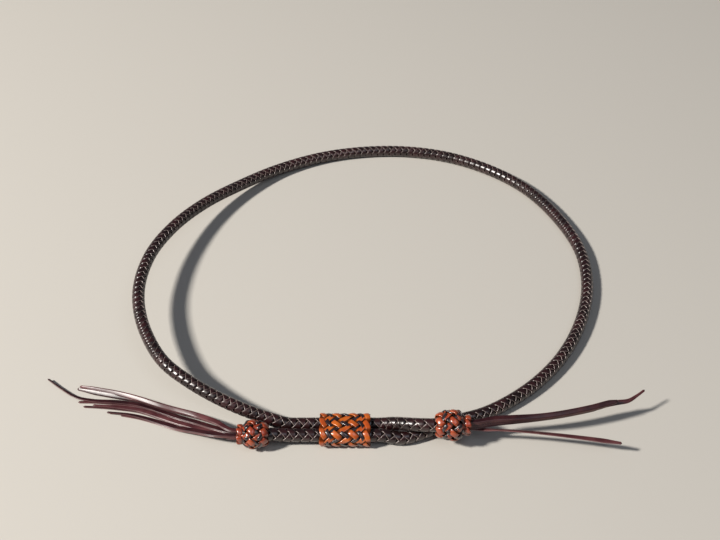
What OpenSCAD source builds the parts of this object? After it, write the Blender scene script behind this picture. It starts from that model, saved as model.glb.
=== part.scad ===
// Adjustable plaited leather hat band. One round plaited cord is bent into a loop, its two ends lie
// side by side at the front inside a sliding keeper, and each end is finished with a woven knot and a
// tassel of loose thongs. Millimetres, +Z up, z = 0 is the surface that the band lies on.
// +X runs along the overlapped ends, +Y points from the overlap to the back of the loop.

/* [Cord] */
// Width of the loop, between the centre lines of the cord
loop_w = 200; // [194:1:206]
// Diameter of the plaited cord
cord_d = 5.4; // [5:0.1:5.4]
// Diameter of the solid core inside the plait
core_d = 3.2; // [2.6:0.1:3.4]

/* [Keeper] */
// Length of the sliding keeper
keeper_l = 20; // [17:0.5:20]
// Width of the tan lace of the keeper
keeper_tan_w = 1.7; // [1.4:0.1:1.8]
// Width of the dark lace woven between the tan ones
keeper_dark_w = 1.5; // [1.2:0.1:1.6]
// Clearance between the keeper and each cord
keeper_gap = 0.25; // [0.2:0.05:0.35]

/* [End knots] */
// Outer diameter of the right end knot
right_knot_d = 12.6; // [11.6:0.1:12.8]
// Length of the right end knot, with its collar
right_knot_l = 13.4; // [12.4:0.1:13.8]
// Outer diameter of the left end knot
left_knot_d = 11.8; // [11.2:0.1:11.8]
// Length of the left end knot, with its collar
left_knot_l = 12; // [11:0.1:12.4]
// Width of the tan lace of an end knot
knot_tan_w = 1.7; // [1.4:0.1:1.8]
// Width of the dark lace of an end knot
knot_dark_w = 1.4; // [1.1:0.1:1.5]
// Thickness of a knot lace
lace_t = 0.6; // [0.5:0.05:0.65]

/* [Tassels] */
// Width of a tassel thong, which is a strand of the plait
thong_w = 2.2; // [1.8:0.1:2.2]
// Thickness of a tassel thong
thong_t = 0.5; // [0.4:0.05:0.5]
// Gap between the knot collar and the loose length of its thongs
thong_gap = 1.2; // [1:0.1:1.6]

/* [Hidden] */
$fn = 64;
cord_r = cord_d / 2;
// the plait is a tube of strands round the core
cover_bore_r = core_d / 2 + 0.1;
// the two ends lie side by side, at this spacing and this height, where the keeper slides
pair_gap = 5.6;
pair_y = -88.7;
pair_z = 4.3;
back_end_y = pair_y + pair_gap / 2;
front_end_y = pair_y - pair_gap / 2;
keeper_x = -9.6;
// centre of each end knot
right_knot = [33, -91, 10];
left_knot = [-46, -92.4, 6];
// the loop is drawn for a width of 200 and grows away from the overlap
grow = loop_w / 200;
function grown(p) = [p[0] * grow, pair_y + (p[1] - pair_y) * grow, p[2]];

// centre line of the cord: out of the right knot, through the keeper, round the loop
// and through the keeper again into the left knot
right_end = [
    [35, -91, 10], [32, -91, 10], [27.5, -91, 10], [24.5, -91, 10], [20, -90.3, 9.3],
    [15, -88.8, 7.9], [10.5, -86.9, 6], [7, -86, 4.7],
    [5, back_end_y, pair_z], [3, back_end_y, pair_z],
    [-29, back_end_y, pair_z], [-31, back_end_y, pair_z]];
loop = [
    [-40, -84, 5.6], [-53, -80, 8], [-63, -75.5, 9.8], [-73, -69.5, 11.4], [-83, -61.5, 12.8],
    [-93.5, -44.5, 14.4], [-99.5, -22, 15], [-98, 2, 14.6], [-90, 25, 12.5], [-78.4, 44.8, 9.5],
    [-62.5, 63.5, 6], [-43.3, 79.9, 3.6], [-23, 90, 2.9], [-2, 94.8, 2.7], [18, 95.3, 2.7],
    [38, 91.5, 2.7], [58, 82, 2.7], [76, 67, 2.7], [91, 43, 2.7], [99, 17, 2.7],
    [98.5, -6, 2.7], [91.6, -29.8, 2.7], [79.5, -51.2, 2.7], [63.2, -68.2, 2.7], [46.3, -79.1, 2.7]];
left_end = [
    [32, -84, 2.7], [24, -87.7, 2.7], [18, -90.2, 2.72], [13, -91.6, 2.8], [9.5, -91.8, 3.4],
    [5, front_end_y, pair_z], [3, front_end_y, pair_z],
    [-29, front_end_y, pair_z], [-31, front_end_y, pair_z],
    [-36, -92, 5.2], [-41, -92.4, 6], [-44, -92.4, 6], [-48, -92.4, 6]];
centre_line = [each right_end, each [for (p = loop) grown(p)], each left_end];

// smooth curve through a list of points
function unit(v) = v / norm(v);
function slope(p, i) =
    i == 0 ? unit(p[1] - p[0]) :
    i == len(p) - 1 ? unit(p[i] - p[i - 1]) :
    let (a = norm(p[i] - p[i - 1]), b = norm(p[i + 1] - p[i]))
    ((p[i] - p[i - 1]) / a * b + (p[i + 1] - p[i]) / b * a) / (a + b);
function between(p, i, t) =
    let (h = norm(p[i + 1] - p[i]))
    (2 * t^3 - 3 * t^2 + 1) * p[i] + (t^3 - 2 * t^2 + t) * h * slope(p, i)
    + (3 * t^2 - 2 * t^3) * p[i + 1] + (t^3 - t^2) * h * slope(p, i + 1);
function steps(p, i, step) =
    abs(p[i + 1][1] - p[i][1]) + abs(p[i + 1][2] - p[i][2]) < 0.01 ? 1
    : ceil(norm(p[i + 1] - p[i]) / step);
function curve(p, step) = [
    for (i = [0 : len(p) - 2]) let (k = steps(p, i, step)) for (j = [0 : k - 1]) between(p, i, j / k),
    p[len(p) - 1]];
cord_path = curve(centre_line, 8);

// direction of a path at one of its points, and a ring of points across it
function heading(c, i) = unit(c[min(i + 1, len(c) - 1)] - c[max(i - 1, 0)]);
function round_ring(c, i, r, n) =
    let (t = heading(c, i), s = unit(cross(t, [0, 0, 1])), u = cross(s, t))
    [for (k = [0 : n - 1]) c[i] + r * (cos(360 * k / n) * s + sin(360 * k / n) * u)];
function flat_ring(p, t, up, w, h) =
    let (s = unit(cross(t, up)), u = cross(s, t))
    [p + w / 2 * s + h / 2 * u, p - w / 2 * s + h / 2 * u,
     p - w / 2 * s - h / 2 * u, p + w / 2 * s - h / 2 * u];

// faces between rings of n points: a ring list that is closed joins its last ring to its first
function side_faces(m, n, closed) = [
    for (i = [0 : closed ? m - 1 : m - 2], k = [0 : n - 1])
    let (a = i * n + k, b = i * n + (k + 1) % n, j = (i + 1) % m, c = j * n + (k + 1) % n, d = j * n + k)
    each [[a, b, c], [a, c, d]]];
module skin(rings, closed = false) {
    n = len(rings[0]);
    m = len(rings);
    polyhedron(
        points = [for (r = rings) each r],
        faces = [
            each side_faces(m, n, closed),
            if (!closed) [for (k = [n - 1 : -1 : 0]) k],
            if (!closed) [for (k = [0 : n - 1]) (m - 1) * n + k]]);
}
// a hollow tube, with flat rings at both ends
module tube(outer, inner) {
    n = len(outer[0]);
    m = len(outer);
    wall = side_faces(m, n, false);
    polyhedron(
        points = [for (r = outer) each r, for (r = inner) each r],
        faces = [
            each wall,
            for (f = wall) [f[2] + m * n, f[1] + m * n, f[0] + m * n],
            for (k = [0 : n - 1]) let (q = (k + 1) % n, z = m * n)
                each [[k, z + k, z + q], [k, z + q, q]],
            for (k = [0 : n - 1]) let (q = (k + 1) % n, e = (m - 1) * n, z = m * n + e)
                each [[e + k, e + q, z + q], [e + k, z + q, z + k]]]);
}

// A woven band of one lace: it runs round the knot leads times and turns back at each rim bights
// times, and it passes over and under itself in turn. u runs from 0 to 1 along the lace.
function wave(u, leads, bights) =
    let (v = 2 * bights * u, n = floor(v), f = v - n)
    sin(180 * n * (leads - 1)
        + (f < 1 / leads ? 90 * leads * f
           : f < 1 - 1 / leads ? 90 + 180 * leads * (f - 1 / leads)
           : 180 * (leads - 1) - 90 * leads * (1 - f)));
function weave(u, leads, bights) = let (w = wave(u, leads, bights)) 1.049 * w / sqrt(w * w + 0.1);
// tan and dark take turns on top in rings: f runs from -1 to 1 between the rims
function on_top(f, bands) = 0.2 + cos(180 * bands * (f - 1));
function smooth(t) = let (q = max(0, min(1, t))) q * q * (3 - 2 * q);

// an end knot is a ball that narrows to a collar on its tassel side
weave_rise = 0.35;
band_rise = 0.2;
lace_depth = weave_rise + 1.2 * band_rise + lace_t / 2;
rim_drop = 1.5;
collar_r = 3.2;
collar_start = 0.32;
collar_run = 0.4;
function lace_r(knot_d) = knot_d / 2 - lace_depth;
function barrel_r(knot_d, f) =
    let (ball = lace_r(knot_d) - rim_drop * abs(f)^2.5)
    ball - (ball - collar_r) * smooth((f - collar_start) / collar_run);
// direction straight out of the barrel, at an angle a round it
function barrel_out(knot_d, half, f, a) =
    let (e = 0.02, rise = (barrel_r(knot_d, f + e) - barrel_r(knot_d, f - e)) / (2 * e * half))
    unit([cos(a), sin(a), -rise]);
function knot_out(u, leads, bights, knot_d, half, reach) =
    barrel_out(knot_d, half, reach * cos(360 * bights * u), 360 * leads * u);
function knot_point(u, leads, bights, knot_d, half, reach, top) =
    let (f = reach * cos(360 * bights * u), a = 360 * leads * u, r = barrel_r(knot_d, f),
         lift = weave_rise * weave(u, leads, bights) + top * band_rise * on_top(f, 2))
    [r * cos(a), r * sin(a), f * half] + lift * barrel_out(knot_d, half, f, a);
module knot_lace(leads, bights, w, knot_d, half, reach, top) {
    count = 6 * leads * bights;
    skin([
        for (i = [0 : count - 1])
        let (u = i / count, e = 0.2 / count,
             p = knot_point(u, leads, bights, knot_d, half, reach, top),
             t = unit(knot_point(u + e, leads, bights, knot_d, half, reach, top)
                      - knot_point(u - e, leads, bights, knot_d, half, reach, top)))
        flat_ring(p, t, knot_out(u, leads, bights, knot_d, half, reach), w, lace_t)], true);
}
// the built-up barrel under the laces
module barrel(knot_d, half) {
    top = [for (f = [-0.6 : 0.1 : 0.31]) [barrel_r(knot_d, f) - lace_depth - 0.12, f * half]];
    rotate_extrude() polygon([[cord_r + 0.6, -0.6 * half], each top, [cord_r + 0.6, 0.3 * half]]);
}
// thread wound round the end of the plait
module whipping() {
    translate([0, 0, -3.6]) difference() {
        cylinder(r = cord_r + 0.5, h = 5);
        translate([0, 0, -1]) cylinder(r = cord_r + 0.08, h = 7);
    }
}
// puts a knot on its end of the cord, its collar towards the tassel
module on_right_end() { translate(right_knot) rotate([0, 90, 0]) children(); }
module on_left_end() { translate(left_knot) rotate([0, -90, 0]) children(); }
right_half = (right_knot_l - knot_tan_w) / 2;
left_half = (left_knot_l - knot_tan_w) / 2;

// the keeper runs round both cords, so its section is a slot with round ends
keeper_bore_r = cord_r + keeper_gap;
keeper_wall = 0.25;
keeper_rise = 0.22;
keeper_band_rise = 0.15;
keeper_lace_t = 0.4;
keeper_lace_r = keeper_bore_r + keeper_wall + keeper_rise + 1.2 * keeper_band_rise
    + keeper_lace_t / 2 + 0.08;
keeper_half = (keeper_l - keeper_tan_w) / 2;
module slot(r) {
    for (s = [-1, 1]) translate([s * pair_gap / 2, 0]) circle(r = r);
    translate([-pair_gap / 2, -r]) square([pair_gap, 2 * r]);
}
// point on the slot, at a share of the way round, with the direction outwards
function slot_turn(q) = q - floor(q);
function slot_at(q, r) =
    let (arc = PI * r, all = 2 * (arc + pair_gap), d = slot_turn(q) * all)
    d < pair_gap ? [[0, d - pair_gap / 2, r], [0, 0, 1]]
    : d < pair_gap + arc ? let (a = 90 - 180 * (d - pair_gap) / arc)
        [[0, pair_gap / 2 + r * cos(a), r * sin(a)], [0, cos(a), sin(a)]]
    : d < 2 * pair_gap + arc ? [[0, pair_gap / 2 - (d - pair_gap - arc), -r], [0, 0, -1]]
    : let (a = -90 - 180 * (d - 2 * pair_gap - arc) / arc)
        [[0, -pair_gap / 2 + r * cos(a), r * sin(a)], [0, cos(a), sin(a)]];
function keeper_point(u, leads, bights, reach, top) =
    let (s = slot_at(leads * u, keeper_lace_r), f = reach * cos(360 * bights * u),
         rise = keeper_rise * weave(u, leads, bights) + top * keeper_band_rise * on_top(f, 3))
    s[0] + rise * s[1] + [f * keeper_half, 0, 0];
module keeper_lace(leads, bights, w, reach, top) {
    count = 6 * leads * bights;
    translate([keeper_x, pair_y, pair_z]) skin([
        for (i = [0 : count - 1])
        let (u = i / count, e = 0.2 / count,
             t = unit(keeper_point(u + e, leads, bights, reach, top)
                      - keeper_point(u - e, leads, bights, reach, top)))
        flat_ring(keeper_point(u, leads, bights, reach, top), t, slot_at(leads * u, keeper_lace_r)[1],
                  w, keeper_lace_t)], true);
}

// A tassel is eight thongs, the loose ends of the strands of the plait.
layer_h = 0.65;
left_root = left_knot - [left_knot_l / 2 + thong_gap, 0, 0];
right_root = right_knot + [right_knot_l / 2 + thong_gap, 0, 0];
// The left ones leave the knot in two columns of four layers. A row holds the column, the layer and the
// route that the thong takes from there.
column_w = 1.25;
left_thongs = [
    [1, 0, [[-61, -88.1, 4], [-70, -83.2, 2], [-78, -79.5, 0.8], [-85, -76.4, 0.35], [-94, -73, 0.35],
            [-103, -71.7, 0.35], [-112, -71.1, 0.35], [-119.5, -71, 0.35]]],
    [1, 1, [[-61, -88.1, 4.65], [-70, -83.2, 2.65], [-78, -79.5, 1.45], [-85, -76.3, 1], [-94, -72.9, 1],
            [-103, -71.4, 1], [-113, -70.7, 1], [-120, -69, 1], [-127, -64.6, 1.2], [-134, -59.2, 1.6]]],
    [1, 2, [[-61, -86.2, 5.6], [-70, -80.6, 3.2], [-78, -77.6, 2.6], [-85, -75.3, 2.7], [-94.5, -71.4, 2.5],
            [-104, -68.9, 1.9], [-113.5, -66.2, 1.1], [-121, -63.9, 0.5]]],
    [1, 3, [[-61, -86.2, 6.25], [-70, -80.6, 3.9], [-78, -77.6, 3.3], [-85, -75.3, 3.4],
            [-94.5, -71.4, 3.2], [-104, -68, 2.6], [-113.5, -65.3, 1.8], [-120, -63.2, 1.2]]],
    [-1, 0, [[-61, -90.8, 4], [-70, -85.9, 2], [-78, -82.2, 0.8], [-85, -79.1, 0.35], [-94, -75.7, 0.35],
             [-103, -74.4, 0.35], [-110, -73.8, 0.35], [-117, -73.4, 0.35]]],
    [-1, 1, [[-61, -90.8, 4.65], [-70, -85.9, 2.65], [-78, -82.2, 1.45], [-85, -79, 1], [-94, -75.6, 1],
             [-103, -74.1, 1], [-113, -73.2, 1]]],
    [-1, 2, [[-61, -92.5, 5.6], [-70, -88.7, 3.2], [-78, -85.2, 1], [-85, -82.1, 0.35], [-93, -79.6, 0.35],
             [-101, -77.9, 0.35]]],
    [-1, 3, [[-61, -92.5, 6.25], [-70, -88.7, 3.9], [-78, -85.1, 1.65], [-85, -82, 1],
             [-97, -78.2, 1], [-106.7, -76.9, 1]]]];
// On the right one thong hangs apart and seven lie in one stack, which rolls towards the front as it
// leaves the knot. A row holds the layer in the stack and how far along X the thong reaches.
right_loose = [
    [45.5, -91.4, 7.6], [51, -91.7, 7.8], [59.2, -92.4, 7.9], [74, -94.1, 7.7], [90.2, -96.5, 7.4],
    [98.6, -98, 7.3]];
right_stack = [
    [49.5, -89.2, 10], [56, -88.5, 10], [66, -87.4, 10], [75, -85.9, 10], [82, -84.3, 10],
    [89, -82.4, 10], [95, -80.4, 10], [99, -79.4, 10]];
right_tip = [[104, -78.4, 10], [108, -75.8, 10.3], [111.4, -73.2, 10.7]];
stacked = [[1, 95], [2, 98], [3, 112], [4, 97], [5, 99], [6, 98], [7, 99]];
stack_roll = 26;
roll_run = 30;
function stack_up(c, i) =
    let (roll = stack_roll * smooth((c[i][0] - right_root[0]) / roll_run),
         side = unit(cross(heading(c, i), [0, 0, 1])))
    cos(roll) * [0, 0, 1] + sin(roll) * side;
function thong_taper(i, last) = i == 0 ? 0.75 : i == last ? 0.3 : i == last - 1 ? 0.75 : 1;
module thong(c, ups) {
    last = len(c) - 1;
    color(red_brown) skin([
        for (i = [0 : last])
        flat_ring(c[i], heading(c, i), ups[i], thong_taper(i, last) * thong_w, thong_t)]);
}
module level_thong(c) { thong(c, [for (p = c) [0, 0, 1]]); }

dark_brown = [0.12, 0.08, 0.07];
red_brown = [0.27, 0.12, 0.11];
tan_orange = [0.72, 0.29, 0.09];
thread = [0.78, 0.72, 0.58];

module plaited_cover() {
    color(dark_brown) tube(
        [for (i = [0 : len(cord_path) - 1]) round_ring(cord_path, i, cord_r, 12)],
        [for (i = [0 : len(cord_path) - 1]) round_ring(cord_path, i, cover_bore_r, 12)]);
}
module core() {
    color(red_brown) skin([for (i = [0 : len(cord_path) - 1]) round_ring(cord_path, i, core_d / 2, 12)]);
}
module keeper_liner() {
    color(tan_orange) translate([keeper_x - keeper_l / 2 + 0.6, pair_y, pair_z]) rotate([90, 0, 90])
        linear_extrude(keeper_l - 1.2) difference() {
            slot(keeper_bore_r + keeper_wall);
            slot(keeper_bore_r);
        }
}
module keeper_tan_lace() {
    color(tan_orange) keeper_lace(8, 7, keeper_tan_w, 1, 1);
}
module keeper_dark_lace() {
    color(dark_brown) keeper_lace(6, 7, keeper_dark_w, 0.8, -1);
}
module right_whipping() { color(thread) on_right_end() whipping(); }
module right_barrel() { color(red_brown) on_right_end() barrel(right_knot_d, right_half); }
module right_tan_lace() {
    color(tan_orange) on_right_end()
        knot_lace(6, 7, knot_tan_w, right_knot_d, right_half, 1, 1);
}
module right_dark_lace() {
    color(dark_brown) on_right_end()
        knot_lace(5, 7, knot_dark_w, right_knot_d, right_half, 0.78, -1);
}
module left_whipping() { color(thread) on_left_end() whipping(); }
module left_barrel() { color(red_brown) on_left_end() barrel(left_knot_d, left_half); }
module left_tan_lace() {
    color(tan_orange) on_left_end()
        knot_lace(6, 7, knot_tan_w, left_knot_d, left_half, 1, 1);
}
module left_dark_lace() {
    color(dark_brown) on_left_end()
        knot_lace(5, 7, knot_dark_w, left_knot_d, left_half, 0.78, -1);
}
module left_thong(i) {
    row = left_thongs[i];
    start = left_root + [0, column_w * row[0], (row[1] - 1.5) * layer_h];
    level_thong(curve([start, each row[2]], 5));
}
module loose_thong() {
    level_thong(curve([right_root - [0, 0, 3.5 * layer_h], each right_loose], 5));
}
module stacked_thong(i) {
    row = stacked[i];
    c = curve([right_root, each right_stack, if (row[1] > 100) each right_tip], 3);
    kept = [for (k = [0 : len(c) - 1]) if (c[k][0] <= row[1]) k];
    ups = [for (k = kept) stack_up(c, k)];
    thong([for (k = kept) c[k] + (row[0] - 3.5) * layer_h * ups[k]], ups);
}

plaited_cover();
core();
keeper_liner();
keeper_tan_lace();
keeper_dark_lace();
right_whipping();
right_barrel();
right_tan_lace();
right_dark_lace();
left_whipping();
left_barrel();
left_tan_lace();
left_dark_lace();
left_thong(0);  // left_thong_1
left_thong(1);  // left_thong_2
left_thong(2);  // left_thong_3
left_thong(3);  // left_thong_4
left_thong(4);  // left_thong_5
left_thong(5);  // left_thong_6
left_thong(6);  // left_thong_7
left_thong(7);  // left_thong_8
loose_thong();  // right_thong_1
stacked_thong(0);  // right_thong_2
stacked_thong(1);  // right_thong_3
stacked_thong(2);  // right_thong_4
stacked_thong(3);  // right_thong_5
stacked_thong(4);  // right_thong_6
stacked_thong(5);  // right_thong_7
stacked_thong(6);  // right_thong_8
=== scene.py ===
import math

import bpy
import numpy as np
from mathutils import Matrix, Vector


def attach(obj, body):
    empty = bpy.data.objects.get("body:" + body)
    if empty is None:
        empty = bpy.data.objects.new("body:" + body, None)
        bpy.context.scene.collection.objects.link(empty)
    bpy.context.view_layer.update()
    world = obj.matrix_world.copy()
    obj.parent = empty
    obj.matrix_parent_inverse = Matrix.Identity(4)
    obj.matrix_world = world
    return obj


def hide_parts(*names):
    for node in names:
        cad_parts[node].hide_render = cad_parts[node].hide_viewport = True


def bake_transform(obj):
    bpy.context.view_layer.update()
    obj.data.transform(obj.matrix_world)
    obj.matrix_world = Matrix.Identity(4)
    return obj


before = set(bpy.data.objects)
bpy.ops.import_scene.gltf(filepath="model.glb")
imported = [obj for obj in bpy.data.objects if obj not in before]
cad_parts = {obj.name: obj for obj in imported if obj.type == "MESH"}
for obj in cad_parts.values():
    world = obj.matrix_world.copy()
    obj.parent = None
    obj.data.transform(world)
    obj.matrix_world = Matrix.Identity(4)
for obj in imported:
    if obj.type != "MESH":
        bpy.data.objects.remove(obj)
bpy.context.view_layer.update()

# an adjustable plaited leather hat band. Sizes are written in millimetres and angles in degrees, and
# they become metres and radians where a shape is grown

MM = 0.001
TURN = 2 * math.pi


class Field:
    """One socket of a node tree. Arithmetic on it adds Math nodes."""

    def __init__(self, maker, socket):
        self.maker = maker
        self.socket = socket

    def math(self, operation, *values):
        return self.maker.node("ShaderNodeMath", {"operation": operation}, values)

    def vector(self, operation, *values):
        return self.maker.node("ShaderNodeVectorMath", {"operation": operation}, (self,) + values)

    def out(self, name):
        """Another output of the same node."""
        return Field(self.maker, self.socket.node.outputs[name])

    def __add__(self, other):
        return self.math("ADD", self, other)

    def __radd__(self, other):
        return self.math("ADD", other, self)

    def __sub__(self, other):
        return self.math("SUBTRACT", self, other)

    def __rsub__(self, other):
        return self.math("SUBTRACT", other, self)

    def __mul__(self, other):
        return self.math("MULTIPLY", self, other)

    def __rmul__(self, other):
        return self.math("MULTIPLY", other, self)

    def __truediv__(self, other):
        return self.math("DIVIDE", self, other)

    def __rtruediv__(self, other):
        return self.math("DIVIDE", other, self)

    def __mod__(self, other):
        return self.math("FLOORED_MODULO", self, other)

    def __pow__(self, other):
        return self.math("POWER", self, other)

    def __gt__(self, other):
        return self.math("GREATER_THAN", self, other)

    def sin(self):
        return self.math("SINE", self)

    def cos(self):
        return self.math("COSINE", self)

    def floor(self):
        return self.math("FLOOR", self)

    def size(self):
        return self.math("ABSOLUTE", self)

    def sign(self):
        return self.math("SIGN", self)

    def root(self):
        return self.math("SQRT", self)

    def at_least(self, low):
        return self.math("MAXIMUM", self, low)

    def at_most(self, high):
        return self.math("MINIMUM", self, high)

    def between(self, low, high):
        return self.at_least(low).at_most(high)

    def eased(self):
        """0 to 1 with soft ends, for a value from 0 to 1 that may run past them."""
        t = self.between(0.0, 1.0)
        return t * t * (3.0 - 2.0 * t)

    def scaled(self, factor):
        """A vector times a number."""
        inputs = {0: self, "Scale": factor}
        return self.maker.node("ShaderNodeVectorMath", {"operation": "SCALE"}, inputs)


class Maker:
    """Adds nodes to one tree."""

    def __init__(self, tree):
        self.tree = tree

    def node(self, kind, settings=None, inputs=(), output=0):
        """A new node: its settings first, then the values or links of its sockets. Gives one output."""
        made = self.tree.nodes.new(kind)
        for key, value in (settings or {}).items():
            setattr(made, key, value)
        pairs = inputs.items() if isinstance(inputs, dict) else enumerate(inputs)
        for key, value in pairs:
            if isinstance(value, Field):
                self.tree.links.new(value.socket, made.inputs[key])
            else:
                made.inputs[key].default_value = value
        return Field(self, made.outputs[output]) if len(made.outputs) else None


# steps that the shape trees share

# Points closer than this, in metres, become one
MERGE_DISTANCE = 2e-7
# Corners of a flat strap's section, and the powers that square it off
STRAP_CORNERS = 10
STRAP_ACROSS_POWER, STRAP_THROUGH_POWER = 0.55, 0.45


def shape_tree(name, sizes):
    """A new geometry tree with an input for each size, for its number of rings and for its leather: its
    maker and the fields of its inputs."""
    tree = bpy.data.node_groups.new(name, "GeometryNodeTree")
    tree.interface.new_socket(name="Geometry", in_out="OUTPUT", socket_type="NodeSocketGeometry")
    kinds = {"Geometry": "Geometry"} | dict.fromkeys(sizes, "Float")
    kinds |= {"Rings": "Int", "Leather": "Material"}
    for label, kind in kinds.items():
        tree.interface.new_socket(name=label, in_out="INPUT", socket_type="NodeSocket" + kind)
    maker = Maker(tree)
    entry = tree.nodes.new("NodeGroupInput")
    return maker, {socket.name: Field(maker, socket) for socket in entry.outputs if socket.name}


def ring_grid(maker, rings, corners, strips=1):
    """Rings of a strip's section, unrolled as a grid: the grid, and each point's ring, corner and strip.
    A strip's last column repeats its first corner, so that merging closes the section."""
    columns = strips * (corners + 1)
    grid = maker.node(
        "GeometryNodeMeshGrid",
        {},
        {"Size X": 1.0, "Size Y": 1.0, "Vertices X": rings, "Vertices Y": columns},
    )
    index = maker.node("GeometryNodeInputIndex")
    column = index % float(columns)
    ring = (index / float(columns)).floor()
    corner = column % float(corners + 1) % float(corners)
    strip = (column / float(corners + 1)).floor()
    return grid, ring, corner, strip


def open_between_ends(ring, last):
    """0 at the first and the last ring, where a strip is drawn to a point, and 1 at the others."""
    return ring.between(0.0, 1.0) * (last - ring).between(0.0, 1.0)


def strap_section(corner):
    """Place on a flat strap's section, from -1 to 1 across it and through it, with rounded edges."""
    around = corner * (TURN / STRAP_CORNERS)
    across = around.cos().sign() * around.cos().size() ** STRAP_ACROSS_POWER
    through = around.sin().sign() * around.sin().size() ** STRAP_THROUGH_POWER
    return across, through


def close_rings(maker, grid, place, marks, corners, strips, material, inside_out=None):
    """Puts the grid's points in place, keeps marks as attributes, and closes it into solid straps. Faces
    are turned round where inside_out holds."""
    for label, value in marks.items():
        grid = maker.node(
            "GeometryNodeStoreNamedAttribute",
            {"data_type": "FLOAT", "domain": "POINT"},
            {"Geometry": grid, "Name": label, "Value": value},
        )
    grid = maker.node("GeometryNodeSetPosition", {}, {"Geometry": grid, "Position": place})
    if strips > 1:
        face = maker.node("GeometryNodeInputIndex") % float(strips * (corners + 1) - 1)
        between_strips = (face % float(corners + 1)) > (corners - 0.5)
        grid = maker.node(
            "GeometryNodeDeleteGeometry",
            {"domain": "FACE"},
            {"Geometry": grid, "Selection": between_strips},
        )
    grid = maker.node("GeometryNodeMergeByDistance", {}, {"Geometry": grid, "Distance": MERGE_DISTANCE})
    if inside_out is not None:
        grid = maker.node("GeometryNodeFlipFaces", {}, {"Mesh": grid, "Selection": inside_out})
    grid = maker.node("GeometryNodeSetShadeSmooth", {}, {"Geometry": grid})
    grid = maker.node("GeometryNodeRealizeInstances", {}, {"Geometry": grid})
    grid = maker.node("GeometryNodeSetMaterial", {}, {"Geometry": grid, "Material": material})
    exit_node = maker.tree.nodes.new("NodeGroupOutput")
    maker.tree.links.new(grid.socket, exit_node.inputs[0])
    return maker.tree


def along_line(maker, geometry, length):
    """Point, sideways direction and upward direction on a line of points, at a length along it."""
    curve = maker.node("GeometryNodeMeshToCurve", {}, {"Mesh": geometry})
    curve = maker.node("GeometryNodeSetCurveNormal", {"mode": "Z_UP"}, {"Curve": curve})
    sample = maker.node(
        "GeometryNodeSampleCurve", {"mode": "LENGTH"}, {"Curves": curve, "Length": length}, "Position"
    )
    side = sample.out("Normal")
    return sample, side, side.vector("CROSS_PRODUCT", sample.out("Tangent"))


# tree of the plait

STRANDS_A_HAND = 4
# A strand goes over and under this often in one turn round the cord
WAVES_A_TURN = 2.0
# How gently a strand steps from over to under: 0 is a sharp step
CROSSING_SOFTNESS = 0.02
# Corners on the outer and the inner face of a strand, and the width of the inner face
FACE_CORNERS, BACK_CORNERS, BACK_WIDTH = 7, 2, 0.8
# How far the outer face drops at its edges, and how flat it stays up to them
EDGE_DROP, FACE_FLATNESS = 0.25, 20.0


def plait_section(corner):
    """Place on a plaited strand's section, from -1 to 1 across it and through it: a smooth outer face,
    which is pressed flat, and a plain inner one."""
    on_back = corner > (FACE_CORNERS - 0.5)
    face = (math.pi / 2 * (1.0 - corner / (0.5 * (FACE_CORNERS - 1)))).sin()
    back = BACK_WIDTH * (2.0 * corner - (2.0 * FACE_CORNERS + 1.0))
    across = face * (1.0 - on_back) + back * on_back
    through = (1.0 - EDGE_DROP * face.size() ** FACE_FLATNESS) * (1.0 - on_back) - on_back
    return across, through


def plait_tree():
    """The four strands of one hand in a plait of eight round a line. Each goes over two strands of the
    other hand and under two, so that the surface has four rows of arrowheads. The lead is the length of
    one turn, and it is longer near both ends. The rolls turn the rows round the cord at three places."""
    maker, size = shape_tree(
        "plaited strands",
        [
            "Radius", "Strand thickness", "Weave depth", "Half width", "Hand", "Length",
            "Lead", "End lead", "First end", "Last end", "Facing", "Roll run", "Front roll",
            "Front roll place", "Back roll", "Back roll place", "Side roll", "Side roll place",
        ],
    )
    corners = FACE_CORNERS + BACK_CORNERS
    grid, ring, corner, strand = ring_grid(maker, size["Rings"], corners, STRANDS_A_HAND)
    across, through = plait_section(corner)
    last = size["Rings"] - 1.0
    open_end = open_between_ends(ring, last)
    length = ring / last * size["Length"]
    hand = size["Hand"]

    near_ends = length.at_most(size["First end"])
    near_ends = near_ends + (length - size["Length"] + size["Last end"]).at_least(0.0)
    turns = length / size["Lead"] + near_ends * (1.0 / size["End lead"] - 1.0 / size["Lead"])
    strand_turn = TURN / STRANDS_A_HAND
    turned = hand * TURN * turns + strand * strand_turn + (1.0 - hand) * (strand_turn / 4)
    facing = size["Facing"]
    for roll in ("Front roll", "Back roll", "Side roll"):
        away = (length - size[roll + " place"]).size() / size["Roll run"]
        facing = facing + size[roll] * (1.0 - away).eased()
    # the section is mirrored with the hand, so that the facets of both hands match
    angle = facing + turned + size["Half width"] * hand * across * open_end

    wave = (WAVES_A_TURN * turned).sin()
    lift = hand * wave / (wave * wave + CROSSING_SOFTNESS).root()
    middle = size["Radius"] - size["Weave depth"] - 0.5 * size["Strand thickness"]
    reach = middle + size["Weave depth"] * lift + 0.5 * size["Strand thickness"] * through * open_end

    point, side, up = along_line(maker, size["Geometry"], length)
    outward = side.scaled(reach * angle.cos()).vector("ADD", up.scaled(reach * angle.sin()))
    place = point.vector("ADD", outward)
    # the height mark sets where the wax lies and where the leather gets painted shade in the recesses
    marks = {"edge": across.size(), "height": 0.5 + 0.5 * lift}
    right_hand = hand > 0.0
    return close_rings(
        maker, grid, place, marks, corners, STRANDS_A_HAND, size["Leather"], inside_out=right_hand
    )


# tree of the knots and the keeper

# How sharply the barrel under a lace rounds off towards its rims
BARREL_POWER = 2.5
# How gently a lace steps from over to under, and the factor that then makes its full rise 1
LACE_SOFTNESS, LACE_CREST = 0.1, 1.049
# How much more the tan rings stand out than the dark ones, as a share of the band rise
RING_LIFT = 0.2
# Half of the length, in metres, over which the barrel's slope is taken
SLOPE_STEP = 0.05 * MM


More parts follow.
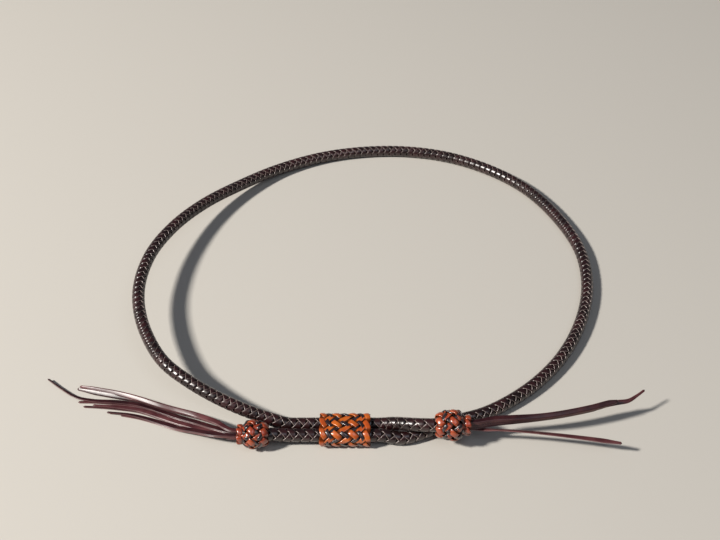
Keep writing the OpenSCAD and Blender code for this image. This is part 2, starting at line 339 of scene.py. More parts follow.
def weave(share, leads, bights):
    """How far a lace is over the others, from -1 to 1. From rim to rim it meets one lace less than there
    are leads, and it takes twice as long over the ones beside a rim."""
    passes = 2.0 * bights * share
    count = passes.floor()
    part = passes - count
    beside_rim = 1.0 / leads
    phase = (
        0.5 * leads * part.at_most(beside_rim)
        + leads * (part - beside_rim).at_most(1.0 - 2.0 * beside_rim).at_least(0.0)
        + 0.5 * leads * (part - 1.0 + beside_rim).at_least(0.0)
    )
    over = (math.pi * (count * (leads - 1.0) + phase)).sin()
    return over * LACE_CREST / (over * over + LACE_SOFTNESS).root()


def round_cores(done, spacing, arc):
    """Place on the girth of one core, or of two side by side, from the length done round it: the angle on
    a core, and how far aside that core's middle is. The length runs along the top first."""
    back = done - spacing - arc
    first_bend = ((done - spacing) / arc).between(0.0, 1.0)
    second_bend = ((done - 2.0 * spacing - arc) / arc).between(0.0, 1.0)
    angle = (0.5 - first_bend - second_bend) * math.pi
    aside = -0.5 * spacing + done.at_most(spacing) - back.at_most(spacing).at_least(0.0)
    return angle, aside


def woven_band_tree():
    """One lace woven into a closed band: it goes round the band once for each lead, turns back at each
    rim once for each bight, and passes over and under itself. The band runs along X round one or two
    cores, which may narrow to a collar. The lace rises over the other colour's lace in its own rings
    and dips under it in the others."""
    maker, size = shape_tree(
        "woven band",
        [
            "Leads", "Bights", "Half length", "Radius", "Core spacing", "Lace width", "Lace thickness",
            "Weave rise", "Barrel half length", "Rim drop", "Collar radius", "Collar start", "Collar run",
            "Colour bands", "Band rise",
        ],
    )
    grid, ring, corner, _ = ring_grid(maker, size["Rings"], STRAP_CORNERS)
    across, through = strap_section(corner)
    share = ring / (size["Rings"] - 1.0)
    leads, bights, spacing = size["Leads"], size["Bights"], size["Core spacing"]

    def barrel(place):
        """Radius of the core at a place along the band."""
        from_middle = place / size["Barrel half length"]
        ball = size["Radius"] - size["Rim drop"] * from_middle.size() ** BARREL_POWER
        neck = ((from_middle - size["Collar start"]) / size["Collar run"]).eased()
        return ball - (ball - size["Collar radius"]) * neck

    # the lace's middle swings from rim to rim, and its width lies square to its course
    swing = TURN * bights * share
    axial = size["Half length"] * swing.cos()
    run = leads * (2.0 * spacing + TURN * barrel(axial))
    climb = -1.0 * size["Half length"] * TURN * bights * swing.sin()
    stride = (run * run + climb * climb).root()
    aside = across * size["Lace width"] * 0.5
    axial = axial + aside * run / stride

    # the way round the girth of the cores
    core = barrel(axial)
    arc = math.pi * core
    girth = 2.0 * spacing + 2.0 * arc
    done = leads * share - aside * climb / stride / girth
    done = (done - done.floor()) * girth
    angle, core_aside = round_cores(done, spacing, arc)

    # the height over the core, square to the barrel's surface
    over = weave(share, leads, bights)
    from_rim = axial / size["Barrel half length"] - 1.0
    own_ring = RING_LIFT + (math.pi * size["Colour bands"] * from_rim).cos()
    level = size["Weave rise"] * over + size["Band rise"] * own_ring
    level = level + 0.5 * size["Lace thickness"] * through
    slope = (barrel(axial + SLOPE_STEP) - barrel(axial - SLOPE_STEP)) / (2.0 * SLOPE_STEP)
    out = level / (1.0 + slope * slope).root()
    reach = core + out
    place = maker.node(
        "ShaderNodeCombineXYZ",
        {},
        {"X": axial - slope * out, "Y": core_aside + reach * angle.cos(), "Z": reach * angle.sin()},
    )
    # the height mark sets where the wax lies and where the lace gets painted shade where it dips under
    marks = {"edge": across.size(), "height": 0.5 + 0.5 * over}
    return close_rings(maker, grid, place, marks, STRAP_CORNERS, 1, size["Leather"])


# tree of the tassels

# Width of a thong where it leaves the knot, as a share, and the length over which it widens
PINCHED_WIDTH, PINCH_RUN = 0.75, 10


def thong_tree():
    """A flat thong along a line. It is pinched where it leaves the knot, rolls over past there, turns on
    itself towards its tip and narrows to a point."""
    maker, size = shape_tree(
        "loose thong",
        [
            "Width", "Thickness", "Length", "Hidden length", "Roll", "Roll run", "Twist", "Tip",
            "Point width",
        ],
    )
    grid, ring, corner, _ = ring_grid(maker, size["Rings"], STRAP_CORNERS)
    across, through = strap_section(corner)
    last = size["Rings"] - 1.0
    share = ring / last
    open_end = open_between_ends(ring, last)
    length = share * size["Length"]
    past_knot = length - size["Hidden length"]

    tip_width = size["Point width"]
    before_tip = ((size["Length"] - length) / size["Tip"]).eased()
    narrow = (tip_width + (1.0 - tip_width) * before_tip) * open_end
    narrow = narrow * (PINCHED_WIDTH + (1.0 - PINCHED_WIDTH) * (past_knot / (PINCH_RUN * MM)).eased())

    point, side, up = along_line(maker, size["Geometry"], length)
    twist = size["Twist"] * share * share + size["Roll"] * (past_knot / size["Roll run"]).eased()
    wide = side.scaled(twist.cos()).vector("ADD", up.scaled(twist.sin()))
    thick = up.scaled(twist.cos()).vector("SUBTRACT", side.scaled(twist.sin()))
    place = point.vector("ADD", wide.scaled(0.5 * size["Width"] * across * narrow))
    place = place.vector("ADD", thick.scaled(0.5 * size["Thickness"] * through * open_end))
    return close_rings(maker, grid, place, {"edge": across.size()}, STRAP_CORNERS, 1, size["Leather"])


# from a tree to a piece

def point_line(points):
    """A scratch object: the points in a row."""
    mesh = bpy.data.meshes.new("line")
    mesh.from_pydata([tuple(p) for p in points], [(i, i + 1) for i in range(len(points) - 1)], [])
    host = bpy.data.objects.new("line", mesh)
    bpy.context.scene.collection.objects.link(host)
    return host


def grow(name, tree, points, sizes, place=None):
    """Runs a shape tree on a row of points and keeps the result as a plain mesh object."""
    host = point_line(points)
    modifier = host.modifiers.new("shape", "NODES")
    modifier.node_group = tree
    for item in tree.interface.items_tree:
        if item.in_out == "INPUT" and item.name in sizes:
            modifier[item.identifier] = sizes[item.name]
    graph = bpy.context.evaluated_depsgraph_get()
    mesh = bpy.data.meshes.new_from_object(host.evaluated_get(graph), depsgraph=graph)
    mesh.name = name
    host.modifiers.remove(modifier)
    bpy.data.objects.remove(host)
    if place is not None:
        mesh.transform(place)
    piece = bpy.data.objects.new(name, mesh)
    bpy.context.scene.collection.objects.link(piece)
    return piece


def stand_for(node):
    """Hides the solid of the CAD node that a piece stands for."""
    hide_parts(node)


# finishes

# Blotches, pores, creases, turns of thread and its fluff, as the scales of their textures
BLOTCHES, PORES, CREASES, THREAD_TURNS, FLUFF = 140.0, 2600.0, 1400.0, 420.0, 1500.0
# Where a strap's cut edge starts, from 0 in its middle to 1, and over how much it comes in
CUT_START, CUT_RUN = 0.84, 0.12
# Where a blotch starts to look worn and over how much, and the shares of blotches and pores in the wear
WEAR_START, WEAR_RUN, BLOTCH_WEAR, PORE_WEAR = 0.35, 0.35, 0.5, 0.25
# Width of a crease, in the measure of its texture, and the shares of pores and creases in the relief
CREASE_WIDTH, PORE_RELIEF, CREASE_RELIEF = 0.12, 0.6, 4.0
# How much blotches, pores and cut edges roughen the leather
BLOTCH_ROUGH, PORE_ROUGH, CUT_ROUGH = 0.3, 0.2, 0.15
# Painted shade between the turns of a thread, as a share of its colour, and the depth there
PAINTED_GROOVE_SHADE, GROOVE_DEPTH = 0.45, 0.2


def blank_material(name):
    """A material with no nodes yet, and the maker of its tree."""
    material = bpy.data.materials.new(name)
    material.use_nodes = True
    material.node_tree.nodes.clear()
    return material, Maker(material.node_tree)


def mixed(maker, factor, first, second):
    """A colour between two colours, each a field or three numbers."""
    ends = [end if isinstance(end, Field) else end + (1.0,) for end in (first, second)]
    return maker.node("ShaderNodeMix", {"data_type": "RGBA"}, {0: factor, 6: ends[0], 7: ends[1]}, 2)


def noise(maker, where, scale, **more):
    """Cloudy noise from 0 to 1."""
    return maker.node("ShaderNodeTexNoise", {}, {"Vector": where, "Scale": scale} | more)


def leather(name, deep, worn, raw, rough, wax, raw_share=0.7, painted_recess_shade=0.8, shine=0.15, wax_rough=0.3,
            wax_index=1.7, grain=0.12):
    """Waxed leather: a deep dye, lighter where it is worn and raw at its cut edges. Woven leather has its
    wax where it stands proud, and painted shade that darkens it in the recesses of the weave, by the given
    share. The leather itself has its roughness and shine, and the wax on it a weight, roughness and
    index. Grain is the depth of the pores in millimetres."""
    material, maker = blank_material(name)
    where = maker.node("ShaderNodeTexCoord", {}, (), "Object")
    blotch = noise(maker, where, BLOTCHES, Detail=4.0, Roughness=0.6)
    pores = noise(maker, where, PORES, Detail=3.0, Roughness=0.6)
    creases = maker.node(
        "ShaderNodeTexVoronoi", {"feature": "DISTANCE_TO_EDGE"}, {"Vector": where, "Scale": CREASES}
    )
    edge = maker.node("ShaderNodeAttribute", {"attribute_name": "edge"}, (), "Fac")
    cut = ((edge - CUT_START) / CUT_RUN).eased() * raw_share * (0.45 + 0.9 * blotch).between(0.0, 1.0)
    wear = ((blotch - WEAR_START) / WEAR_RUN).eased() * BLOTCH_WEAR + (pores - 0.5) * PORE_WEAR
    colour = mixed(maker, wear.between(0.0, 1.0), deep, worn)
    colour = mixed(maker, cut, colour, raw)
    waxed = (0.5 + blotch).between(0.0, 1.0)
    # painted shade: the colour goes towards black in the recesses of the weave, where a strand or lace
    # dips
    if painted_recess_shade:
        height = maker.node("ShaderNodeAttribute", {"attribute_name": "height"}, (), "Fac").eased()
        colour = mixed(maker, painted_recess_shade * (1.0 - height), colour, (0.0, 0.0, 0.0))
        waxed = height * waxed
    relief = pores * PORE_RELIEF + creases.between(0.0, CREASE_WIDTH) * CREASE_RELIEF
    bump = maker.node("ShaderNodeBump", {}, {"Strength": 0.5, "Distance": grain * MM, "Height": relief})
    uneven = rough + BLOTCH_ROUGH * (blotch - 0.5) + PORE_ROUGH * (pores - 0.5) + CUT_ROUGH * cut
    shader = maker.node(
        "ShaderNodeBsdfPrincipled",
        {},
        {
            "Base Color": colour,
            "Roughness": uneven.between(0.05, 1.0),
            "Specular IOR Level": shine,
            "Coat Weight": wax * waxed if wax else 0.0,
            "Coat Roughness": wax_rough,
            "Coat IOR": wax_index,
            "Normal": bump,
        },
    )
    maker.node("ShaderNodeOutputMaterial", {}, {"Surface": shader})
    return material


def waxed_thread(name, colour):
    """Fine thread laid in turns along X, with painted shade between the turns."""
    material, maker = blank_material(name)
    where = maker.node("ShaderNodeTexCoord", {}, (), "Object")
    turns = maker.node(
        "ShaderNodeTexWave", {"bands_direction": "X"}, {"Vector": where, "Scale": THREAD_TURNS}
    )
    fluff = noise(maker, where, FLUFF, Detail=3.0)
    # painted shade in the grooves between the turns, mixed with random fluff
    shade = mixed(maker, turns * 0.7 + fluff * 0.3, tuple(PAINTED_GROOVE_SHADE * c for c in colour), colour)
    bump = maker.node(
        "ShaderNodeBump", {}, {"Strength": 0.6, "Distance": GROOVE_DEPTH * MM, "Height": turns}
    )
    shader = maker.node(
        "ShaderNodeBsdfPrincipled",
        {},
        {"Base Color": shade, "Roughness": 0.7 + 0.2 * fluff, "Normal": bump},
    )
    maker.node("ShaderNodeOutputMaterial", {}, {"Surface": shader})
    return material


# The plait and the laces keep the default share of painted shade in their recesses; thongs and hidden
# pieces have none
LACE_FINISH = {"rough": 0.36, "wax": 1.0, "wax_rough": 0.26, "wax_index": 1.9, "grain": 0.04}
THONG_FINISH = {"rough": 0.36, "wax": 0.5, "raw_share": 0.5, "painted_recess_shade": 0}
HIDDEN_FINISH = {"rough": 0.7, "wax": 0.0, "painted_recess_shade": 0}

plait_leather = leather(
    "plait leather", deep=(0.009, 0.002, 0.002), worn=(0.058, 0.0105, 0.012), raw=(0.75, 0.6, 0.55),
    rough=0.42, wax=1.0, raw_share=0.45, shine=0.12, wax_rough=0.28, wax_index=1.65, grain=0.03,
)
tan_leather = leather(
    "tan lace leather", deep=(0.46, 0.066, 0.005), worn=(0.85, 0.22, 0.013), raw=(0.75, 0.3, 0.06),
    raw_share=0.35, **LACE_FINISH,
)
russet_leather = leather(
    "russet lace leather", deep=(0.3, 0.033, 0.008), worn=(0.64, 0.12, 0.02), raw=(0.6, 0.2, 0.07),
    raw_share=0.35, **LACE_FINISH,
)
dark_leather = leather(
    "dark lace leather", deep=(0.014, 0.006, 0.008), worn=(0.04, 0.017, 0.022), raw=(0.1, 0.05, 0.045),
    raw_share=0.4, **LACE_FINISH,
)
thong_leather = leather(
    "thong leather", deep=(0.022, 0.004, 0.006), worn=(0.085, 0.02, 0.022), raw=(0.26, 0.1, 0.1),
    **THONG_FINISH,
)
pale_thong_leather = leather(
    "pale thong leather", deep=(0.06, 0.014, 0.017), worn=(0.2, 0.066, 0.068), raw=(0.36, 0.17, 0.16),
    **THONG_FINISH,
)
lining_leather = leather(
    "lining leather", deep=(0.05, 0.022, 0.012), worn=(0.11, 0.05, 0.026), raw=(0.2, 0.1, 0.06),
    **HIDDEN_FINISH,
)
core_leather = leather(
    "core leather", deep=(0.02, 0.012, 0.01), worn=(0.05, 0.03, 0.022), raw=(0.1, 0.06, 0.05),
    **HIDDEN_FINISH,
)
thread = waxed_thread("waxed thread", (0.6, 0.52, 0.36))

# sizes and places that the pieces share

CORD_D = 5.4
# Where the two ends of the cord lie side by side in the keeper
PAIR_GAP, PAIR_Y, PAIR_Z = 5.6, -88.7, 4.3
BACK_Y, FRONT_Y = PAIR_Y + PAIR_GAP / 2, PAIR_Y - PAIR_GAP / 2
KEEPER_X, KEEPER_L = -9.6, 20
RIGHT_KNOT, RIGHT_KNOT_D, RIGHT_KNOT_L = (33, -91, 10), 12.6, 13.4
LEFT_KNOT, LEFT_KNOT_D, LEFT_KNOT_L = (-46, -92.4, 6), 11.8, 12.0


def smooth_line(points, step):
    """A smooth curve through points, with a new point about every step."""
    p = np.array(points, float)
    gap = np.linalg.norm(np.diff(p, axis=0), axis=1)
    before, after = gap[:-1, None], gap[1:, None]
    slope = np.empty_like(p)
    slope[0] = (p[1] - p[0]) / gap[0]
    slope[-1] = (p[-1] - p[-2]) / gap[-1]
    slope[1:-1] = (
        (p[1:-1] - p[:-2]) / before * after + (p[2:] - p[1:-1]) / after * before
    ) / (before + after)
    line = []
    for i, run in enumerate(gap):
        steps = max(1, math.ceil(run / step))
        for t in np.arange(steps) / steps:
            line.append(
                (2 * t**3 - 3 * t**2 + 1) * p[i] + (t**3 - 2 * t**2 + t) * run * slope[i]
                + (3 * t**2 - 2 * t**3) * p[i + 1] + (t**3 - t**2) * run * slope[i + 1]
            )
    line.append(p[-1])
    return np.array(line)


def line_length(points):
    """Length of a row of points."""
    return float(np.linalg.norm(np.diff(points, axis=0), axis=1).sum())


# plaited cord

# Its centre line: out of the right knot, through the keeper, round the loop and through the keeper
# again into the left knot
CENTRE_LINE = [
    (35, -91, 10), (32, -91, 10), (27.5, -91, 10), (24.5, -91, 10), (20, -90.3, 9.3),
    (15, -88.8, 7.9), (10.5, -86.9, 6), (7, -86, 4.7), (5, BACK_Y, PAIR_Z), (3, BACK_Y, PAIR_Z),
    (-29, BACK_Y, PAIR_Z), (-31, BACK_Y, PAIR_Z), (-40, -84, 5.6), (-53, -80, 8), (-63, -75.5, 9.8),
    (-73, -69.5, 11.4), (-83, -61.5, 12.8), (-93.5, -44.5, 14.4), (-99.5, -22, 15), (-98, 2, 14.6),
    (-90, 25, 12.5), (-78.4, 44.8, 9.5), (-62.5, 63.5, 6), (-43.3, 79.9, 3.6), (-23, 90, 2.9),
    (-2, 94.8, 2.7), (18, 95.3, 2.7), (38, 91.5, 2.7), (58, 82, 2.7), (76, 67, 2.7), (91, 43, 2.7),
    (99, 17, 2.7), (98.5, -6, 2.7), (91.6, -29.8, 2.7), (79.5, -51.2, 2.7), (63.2, -68.2, 2.7),
    (46.3, -79.1, 2.7), (32, -84, 2.7), (24, -87.7, 2.7), (18, -90.2, 2.72), (13, -91.6, 2.8),
    (9.5, -91.8, 3.4), (5, FRONT_Y, PAIR_Z), (3, FRONT_Y, PAIR_Z), (-29, FRONT_Y, PAIR_Z),
    (-31, FRONT_Y, PAIR_Z), (-36, -92, 5.2), (-41, -92.4, 6), (-44, -92.4, 6), (-48, -92.4, 6),
]
CORD_STEP, PLAIT_RINGS = 0.6, 2500
PLAIT_LENGTHS = {
    "Radius": CORD_D / 2, "Strand thickness": 0.5, "Weave depth": 0.26, "Lead": 12.2, "End lead": 15,
    "First end": 78, "Last end": 88, "Front roll place": 105, "Back roll place": 390,
    "Side roll place": 520, "Roll run": 75,
}
PLAIT_ANGLES = {"Half width": 43.5, "Facing": 137, "Front roll": -40, "Back roll": 40, "Side roll": -35}


def plaited_cord():
    """The strands of both hands, in two pieces."""
    line = smooth_line(CENTRE_LINE, CORD_STEP) * MM
    tree = plait_tree()
    sizes = {"Length": line_length(line), "Rings": PLAIT_RINGS, "Leather": plait_leather}
    sizes |= {label: value * MM for label, value in PLAIT_LENGTHS.items()}
    sizes |= {label: math.radians(value) for label, value in PLAIT_ANGLES.items()}
    for name, hand in {"plait_strands_right_hand": 1.0, "plait_strands_left_hand": -1.0}.items():
        strands = grow(name, tree, line, sizes | {"Hand": hand})
        stand_for("plaited_cover")
        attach(strands, "band")


plaited_cord()

# knots and keeper

# A lace's middle turns back so far inside the two rims, in all
RIM_ROOM = 1.7
# How far the laces of a knot stand out from its core
KNOT_BUILD = 0.89
KNOT_LENGTHS = {
    "Rim drop": 1.5, "Collar radius": 3.2, "Core spacing": 0, "Lace thickness": 0.6, "Weave rise": 0.35,
}
KNOT_SHARES = {"Bights": 7.0, "Collar start": 0.32, "Collar run": 0.4, "Colour bands": 2.0}
KNOT_BAND_RISE, KNOT_DARK_REACH = 0.28, 0.78
KEEPER_CORE_R = 3.88
KEEPER_LENGTHS = {
    "Radius": KEEPER_CORE_R, "Rim drop": 0, "Collar radius": KEEPER_CORE_R, "Core spacing": PAIR_GAP,
    "Lace thickness": 0.4, "Weave rise": 0.22,
}
# The keeper has no collar, so its collar starts past the rim
KEEPER_SHARES = {"Bights": 7.0, "Collar start": 5.0, "Collar run": 1.0, "Colour bands": 3.0}
KEEPER_BAND_RISE, KEEPER_DARK_REACH = 0.21, 0.8

woven_band = woven_band_tree()


def woven(name, node, body, material, place, lengths, shares, rings):
    """One lace of a knot or of the keeper, from its lengths in millimetres and its counts and shares."""
    sizes = {label: value * MM for label, value in lengths.items()} | shares
    sizes |= {"Rings": rings, "Leather": material}
    lace = grow(name, woven_band, [(0, 0, 0), (0, 0, MM)], sizes, place)
    stand_for(node)
    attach(lace, body)


def end_knot(side, centre, way, diameter, length):
    """Tan and dark laces of an end knot, its collar towards the tassel, which lies the way of +X or -X."""
    place = Matrix.Translation(Vector(centre) * MM)
    if way < 0:
        place = place @ Matrix.Rotation(math.pi, 4, "Z")
    half = (length - RIM_ROOM) / 2
    dark_half = KNOT_DARK_REACH * half
    lengths = KNOT_LENGTHS | {"Radius": diameter / 2 - KNOT_BUILD, "Barrel half length": half}
    woven(
        side + "_knot_tan_lace", side + "_tan_lace", "band", russet_leather, place,
        lengths | {"Half length": half, "Lace width": 2.15, "Band rise": KNOT_BAND_RISE},
        KNOT_SHARES | {"Leads": 6.0}, rings=620,
    )
    woven(
        side + "_knot_dark_lace", side + "_dark_lace", "band", dark_leather, place,
        lengths | {"Half length": dark_half, "Lace width": 1.25, "Band rise": -KNOT_BAND_RISE},
        KNOT_SHARES | {"Leads": 5.0}, rings=520,
    )


def keeper():
    """Tan and dark laces of the keeper, round both cords."""
    place = Matrix.Translation(Vector((KEEPER_X, PAIR_Y, PAIR_Z)) * MM)
    half = (KEEPER_L - RIM_ROOM) / 2
    dark_half = KEEPER_DARK_REACH * half
    lengths = KEEPER_LENGTHS | {"Barrel half length": half}
    woven(
        "keeper_tan_weave", "keeper_tan_lace", "keeper", tan_leather, place,
        lengths | {"Half length": half, "Lace width": 2.05, "Band rise": KEEPER_BAND_RISE},
        KEEPER_SHARES | {"Leads": 8.0}, rings=820,
    )
    woven(
        "keeper_dark_weave", "keeper_dark_lace", "keeper", dark_leather, place,
        lengths | {"Half length": dark_half, "Lace width": 1.4, "Band rise": -KEEPER_BAND_RISE},
        KEEPER_SHARES | {"Leads": 6.0}, rings=660,
    )


end_knot("right", RIGHT_KNOT, 1, RIGHT_KNOT_D, RIGHT_KNOT_L)
end_knot("left", LEFT_KNOT, -1, LEFT_KNOT_D, LEFT_KNOT_L)
keeper()

# tassels

THONG_W, THONG_T, THONG_STEP, THONG_RINGS = 2.2, 0.5, 1.0, 120
# Spacing of the thongs in the mouth of a knot, and the gap from the mouth to where they start to spread
LAYER_H, COLUMN_W, THONG_GAP = 0.65, 1.25, 1.2
# Places of a thong inside the knot, as lengths back from where it starts to spread
INSIDE_KNOT = (4.4, 3.2, 2, 0)
# A long tip ends in a finer point than a short one
LONG_TIP, FINE_POINT, BLUNT_POINT = 10, 0.45, 0.55
PALE_THONGS = (1, 4, 6, 7)
# Length over which a thong rolls past the knot
ROLL_RUN = 30

# A left row holds the column and the layer in the mouth of the knot, the roll past the knot and the
# twist towards the tip in degrees, the length of the tip, and the route after the mouth
LEFT_THONGS = [
    (1, 0, 0, 10, 26, [
        (-61, -88.1, 4), (-70, -83.2, 2), (-78, -79.5, 0.8), (-85, -76.4, 0.35), (-94, -73, 0.35),
        (-103, -71.7, 0.35), (-112, -71.1, 0.35), (-119.5, -71, 0.35),
    ]),
    (1, 1, 0, -25, 34, [
        (-61, -88.1, 4.65), (-70, -83.2, 2.65), (-78, -79.5, 1.45), (-85, -76.3, 1), (-94, -72.9, 1),
        (-103, -71.4, 1), (-113, -70.7, 1), (-120, -69, 1), (-127, -64.6, 1.2), (-134, -59.2, 1.6),
    ]),
    (1, 2, 30, 10, 9, [
        (-61, -86.2, 5.6), (-70, -80.6, 3.2), (-78, -77.6, 2.6), (-85, -75.3, 2.7), (-94.5, -71.4, 2.5),
        (-104, -68.9, 1.9), (-113.5, -66.2, 1.1), (-121, -63.9, 0.5),
    ]),
    (1, 3, 30, 16, 7, [
        (-61, -86.2, 6.25), (-70, -80.6, 3.9), (-78, -77.6, 3.3), (-85, -75.3, 3.4), (-94.5, -71.4, 3.2),
        (-104, -68, 2.6), (-113.5, -65.3, 1.8), (-120, -63.2, 1.2),
    ]),
    (-1, 0, 0, -10, 26, [
        (-61, -90.8, 4), (-70, -85.9, 2), (-78, -82.2, 0.8), (-85, -79.1, 0.35), (-94, -75.7, 0.35),
        (-103, -74.4, 0.35), (-110, -73.8, 0.35), (-117, -73.4, 0.35),
    ]),
    (-1, 1, 0, 15, 24, [
        (-61, -90.8, 4.65), (-70, -85.9, 2.65), (-78, -82.2, 1.45), (-85, -79, 1), (-94, -75.6, 1),
        (-103, -74.1, 1), (-113, -73.2, 1),
    ]),
    (-1, 2, 0, 10, 26, [
        (-61, -92.5, 5.6), (-70, -88.7, 3.2), (-78, -85.2, 1), (-85, -82.1, 0.35), (-93, -79.6, 0.35),
        (-101, -77.9, 0.35),
    ]),
    (-1, 3, 0, -10, 26, [
        (-61, -92.5, 6.25), (-70, -88.7, 3.9), (-78, -85.1, 1.65), (-85, -82, 1), (-97, -78.2, 1),
        (-106.7, -76.9, 1),
    ]),
]

# On the right one thong hangs apart, under seven that lie in one stack, which rolls towards the front
RIGHT_LOOSE = [
    (45.5, -91.4, 7.6), (51, -91.7, 7.8), (59.2, -92.4, 7.9), (74, -94.1, 7.7), (90.2, -96.5, 7.4),
    (98.6, -98, 7.3),
]
LOOSE_TIP, LOOSE_ROLL, LOOSE_TWIST, LOOSE_ROLL_RUN = 8, 36, -48, 10
RIGHT_STACK = [
    (49.5, -89.2, 10), (56, -88.5, 10), (66, -87.4, 10), (75, -85.9, 10), (82, -84.3, 10),
    (89, -82.4, 10), (95, -80.4, 10), (99, -79.4, 10),
]
# The longest thong of the stack runs on along these points
RIGHT_TIP = [(104, -78.4, 10), (108, -75.8, 10.3), (111.4, -73.2, 10.7)]
# A row holds the layer in the stack, how far along X the thong reaches, and the length of the tip
STACKED = [(1, 95, 6), (2, 98, 5), (3, 112, 16), (4, 97, 5), (5, 99, 4), (6, 98, 5), (7, 99, 4)]
STACK_ROLL = 26
# The layers that lie level with the middles of the knots. On the right the loose thong is layer 0
LEFT_MIDDLE_LAYER, RIGHT_MIDDLE_LAYER = 1.5, 3.5

loose_thong = thong_tree()


def out_of_knot(root, axis, points):
    """Route of a thong with the length that is inside the knot."""
    return [root - axis * back for back in INSIDE_KNOT] + [np.array(p, float) for p in points]


def stack_line(root, axis, layer, reach):
    """A thong of the right stack, offset from the stack's middle by its layer."""
    tip = RIGHT_TIP if reach > RIGHT_STACK[-1][0] else []
    middle = smooth_line(out_of_knot(root, axis, RIGHT_STACK + tip), THONG_STEP)
    up = np.array((0, 0, 1))
    side = np.cross(np.gradient(middle, axis=0), up)
    side /= np.linalg.norm(side, axis=1)[:, None]
    t = np.clip((middle[:, :1] - root[0]) / ROLL_RUN, 0, 1)
    roll = math.radians(STACK_ROLL) * t * t * (3 - 2 * t)
    line = middle + (layer - RIGHT_MIDDLE_LAYER) * LAYER_H * (np.cos(roll) * up + np.sin(roll) * side)
    return line[middle[:, 0] <= reach]


def thong(side, number, line, tip, roll, twist, roll_run=ROLL_RUN):
    """One loose thong. It bends at the mouth of its knot, where the tassel swings, from the knot's axis to
    the way that the tassel heads."""
    line = line * MM
    long = line_length(line)
    piece = grow(
        f"{side}_tassel_thong_{number}",
        loose_thong,
        line,
        {
            "Width": THONG_W * MM, "Thickness": THONG_T * MM, "Length": long,
            "Hidden length": INSIDE_KNOT[0] * MM, "Roll": math.radians(roll), "Roll run": roll_run * MM,
            "Twist": math.radians(twist), "Tip": tip * MM,
            "Point width": BLUNT_POINT if tip < LONG_TIP else FINE_POINT, "Rings": THONG_RINGS,
            "Leather": pale_thong_leather if number in PALE_THONGS else thong_leather,
        },
    )
    stand_for(f"{side}_thong_{number}")
    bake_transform(piece)


def left_tassel():
    """Eight thongs in two columns, which spread as they come down."""
    axis = np.array((-1.0, 0, 0))
    mouth = np.array(LEFT_KNOT) + axis * LEFT_KNOT_L / 2
    root = mouth + axis * THONG_GAP
    for number, (column, layer, roll, twist, tip, route) in enumerate(LEFT_THONGS, 1):
        start = root + np.array((0, COLUMN_W * column, (layer - LEFT_MIDDLE_LAYER) * LAYER_H))
        line = smooth_line(out_of_knot(start, axis, route), THONG_STEP)
        thong("left", number, line, tip, roll, twist)


def right_tassel():
    """One loose thong and a stack of seven."""
    axis = np.array((1.0, 0, 0))
    mouth = np.array(RIGHT_KNOT) + axis * RIGHT_KNOT_L / 2
    root = mouth + axis * THONG_GAP
    below = root - np.array((0, 0, RIGHT_MIDDLE_LAYER * LAYER_H))
    line = smooth_line(out_of_knot(below, axis, RIGHT_LOOSE), THONG_STEP)
    thong(
        "right", 1, line, LOOSE_TIP, LOOSE_ROLL, LOOSE_TWIST,
        roll_run=LOOSE_ROLL_RUN,
    )
    for number, (layer, reach, tip) in enumerate(STACKED, 2):
        line = stack_line(root, axis, layer, reach)
        thong("right", number, line, tip, -STACK_ROLL, 0)


left_tassel()
right_tassel()

# hidden pieces keep their solids

for node, material in {
    "core": core_leather, "keeper_liner": lining_leather, "right_barrel": lining_leather,
    "left_barrel": lining_leather, "right_whipping": thread, "left_whipping": thread,
}.items():
    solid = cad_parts[node]
    solid.data.materials.clear()
    solid.data.materials.append(material)

# floor, light and camera, in metres

FLOOR_HALF = 3
FLOOR_COLOUR, FLOOR_GLOW, FLOOR_ROUGH = (0.6, 0.57, 0.52), (0.26, 0.18, 0.1), 0.8
SKY_COLOUR, SKY_STRENGTH = (0.74, 0.78, 0.92, 1.0), 0.11
SENSOR_MM, LENS_MM, NEAREST = 36, 58.9, 0.01
CAMERA_PLACE, CAMERA_DOWN = (-0.00365, -0.3878, 0.37), 43


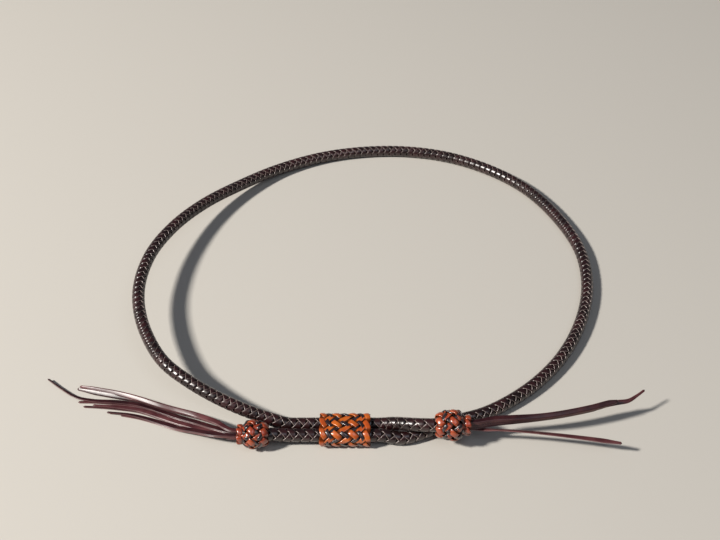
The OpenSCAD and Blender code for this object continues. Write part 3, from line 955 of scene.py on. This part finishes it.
def pale_floor():
    """A plain pale floor. The light that it throws back on to the object is dimmer and warmer than the
    floor looks."""
    mesh = bpy.data.meshes.new("floor")
    corners = [(-1, -1), (1, -1), (1, 1), (-1, 1)]
    mesh.from_pydata([(x * FLOOR_HALF, y * FLOOR_HALF, 0) for x, y in corners], [], [(0, 1, 2, 3)])
    floor = bpy.data.objects.new("floor", mesh)
    bpy.context.scene.collection.objects.link(floor)
    material, maker = blank_material("pale floor")
    path = maker.node("ShaderNodeLightPath", {}, (), "Is Camera Ray")
    seen = (path + path.out("Is Glossy Ray") + path.out("Is Transmission Ray")).between(0.0, 1.0)
    shade = mixed(maker, seen, FLOOR_GLOW, FLOOR_COLOUR)
    shader = maker.node("ShaderNodeBsdfPrincipled", {}, {"Base Color": shade, "Roughness": FLOOR_ROUGH})
    maker.node("ShaderNodeOutputMaterial", {}, {"Surface": shader})
    mesh.materials.append(material)


def area_light(name, place, size, watts, colour):
    """A square lamp that faces the origin."""
    data = bpy.data.lights.new(name, "AREA")
    data.shape = "SQUARE"
    data.size = size
    data.energy = watts
    data.color = colour
    lamp = bpy.data.objects.new(name, data)
    lamp.location = place
    lamp.rotation_euler = (-Vector(place)).to_track_quat("-Z", "Y").to_euler()
    bpy.context.scene.collection.objects.link(lamp)


def sky():
    """Even bluish light from all round."""
    world = bpy.data.worlds.new("studio")
    bpy.context.scene.world = world
    world.use_nodes = True
    background = world.node_tree.nodes["Background"]
    background.inputs["Color"].default_value = SKY_COLOUR
    background.inputs["Strength"].default_value = SKY_STRENGTH


def viewer():
    """The camera, level from side to side and looking down on the loop."""
    camera = bpy.data.cameras.new("camera")
    camera.sensor_width = SENSOR_MM
    camera.lens = LENS_MM
    camera.clip_start = NEAREST
    stand = bpy.data.objects.new("camera", camera)
    stand.location = CAMERA_PLACE
    stand.rotation_euler = (math.radians(90 - CAMERA_DOWN), 0, 0)
    bpy.context.scene.collection.objects.link(stand)
    bpy.context.scene.camera = stand


pale_floor()
area_light("key light", place=(-1.56, -0.6, 1.43), size=0.22, watts=66, colour=(1.0, 0.96, 0.9))
area_light("fill light", place=(0.4, -0.7, 1.4), size=0.9, watts=3, colour=(0.82, 0.9, 1.0))
sky()
viewer()
bpy.context.scene.view_settings.view_transform = "Standard"
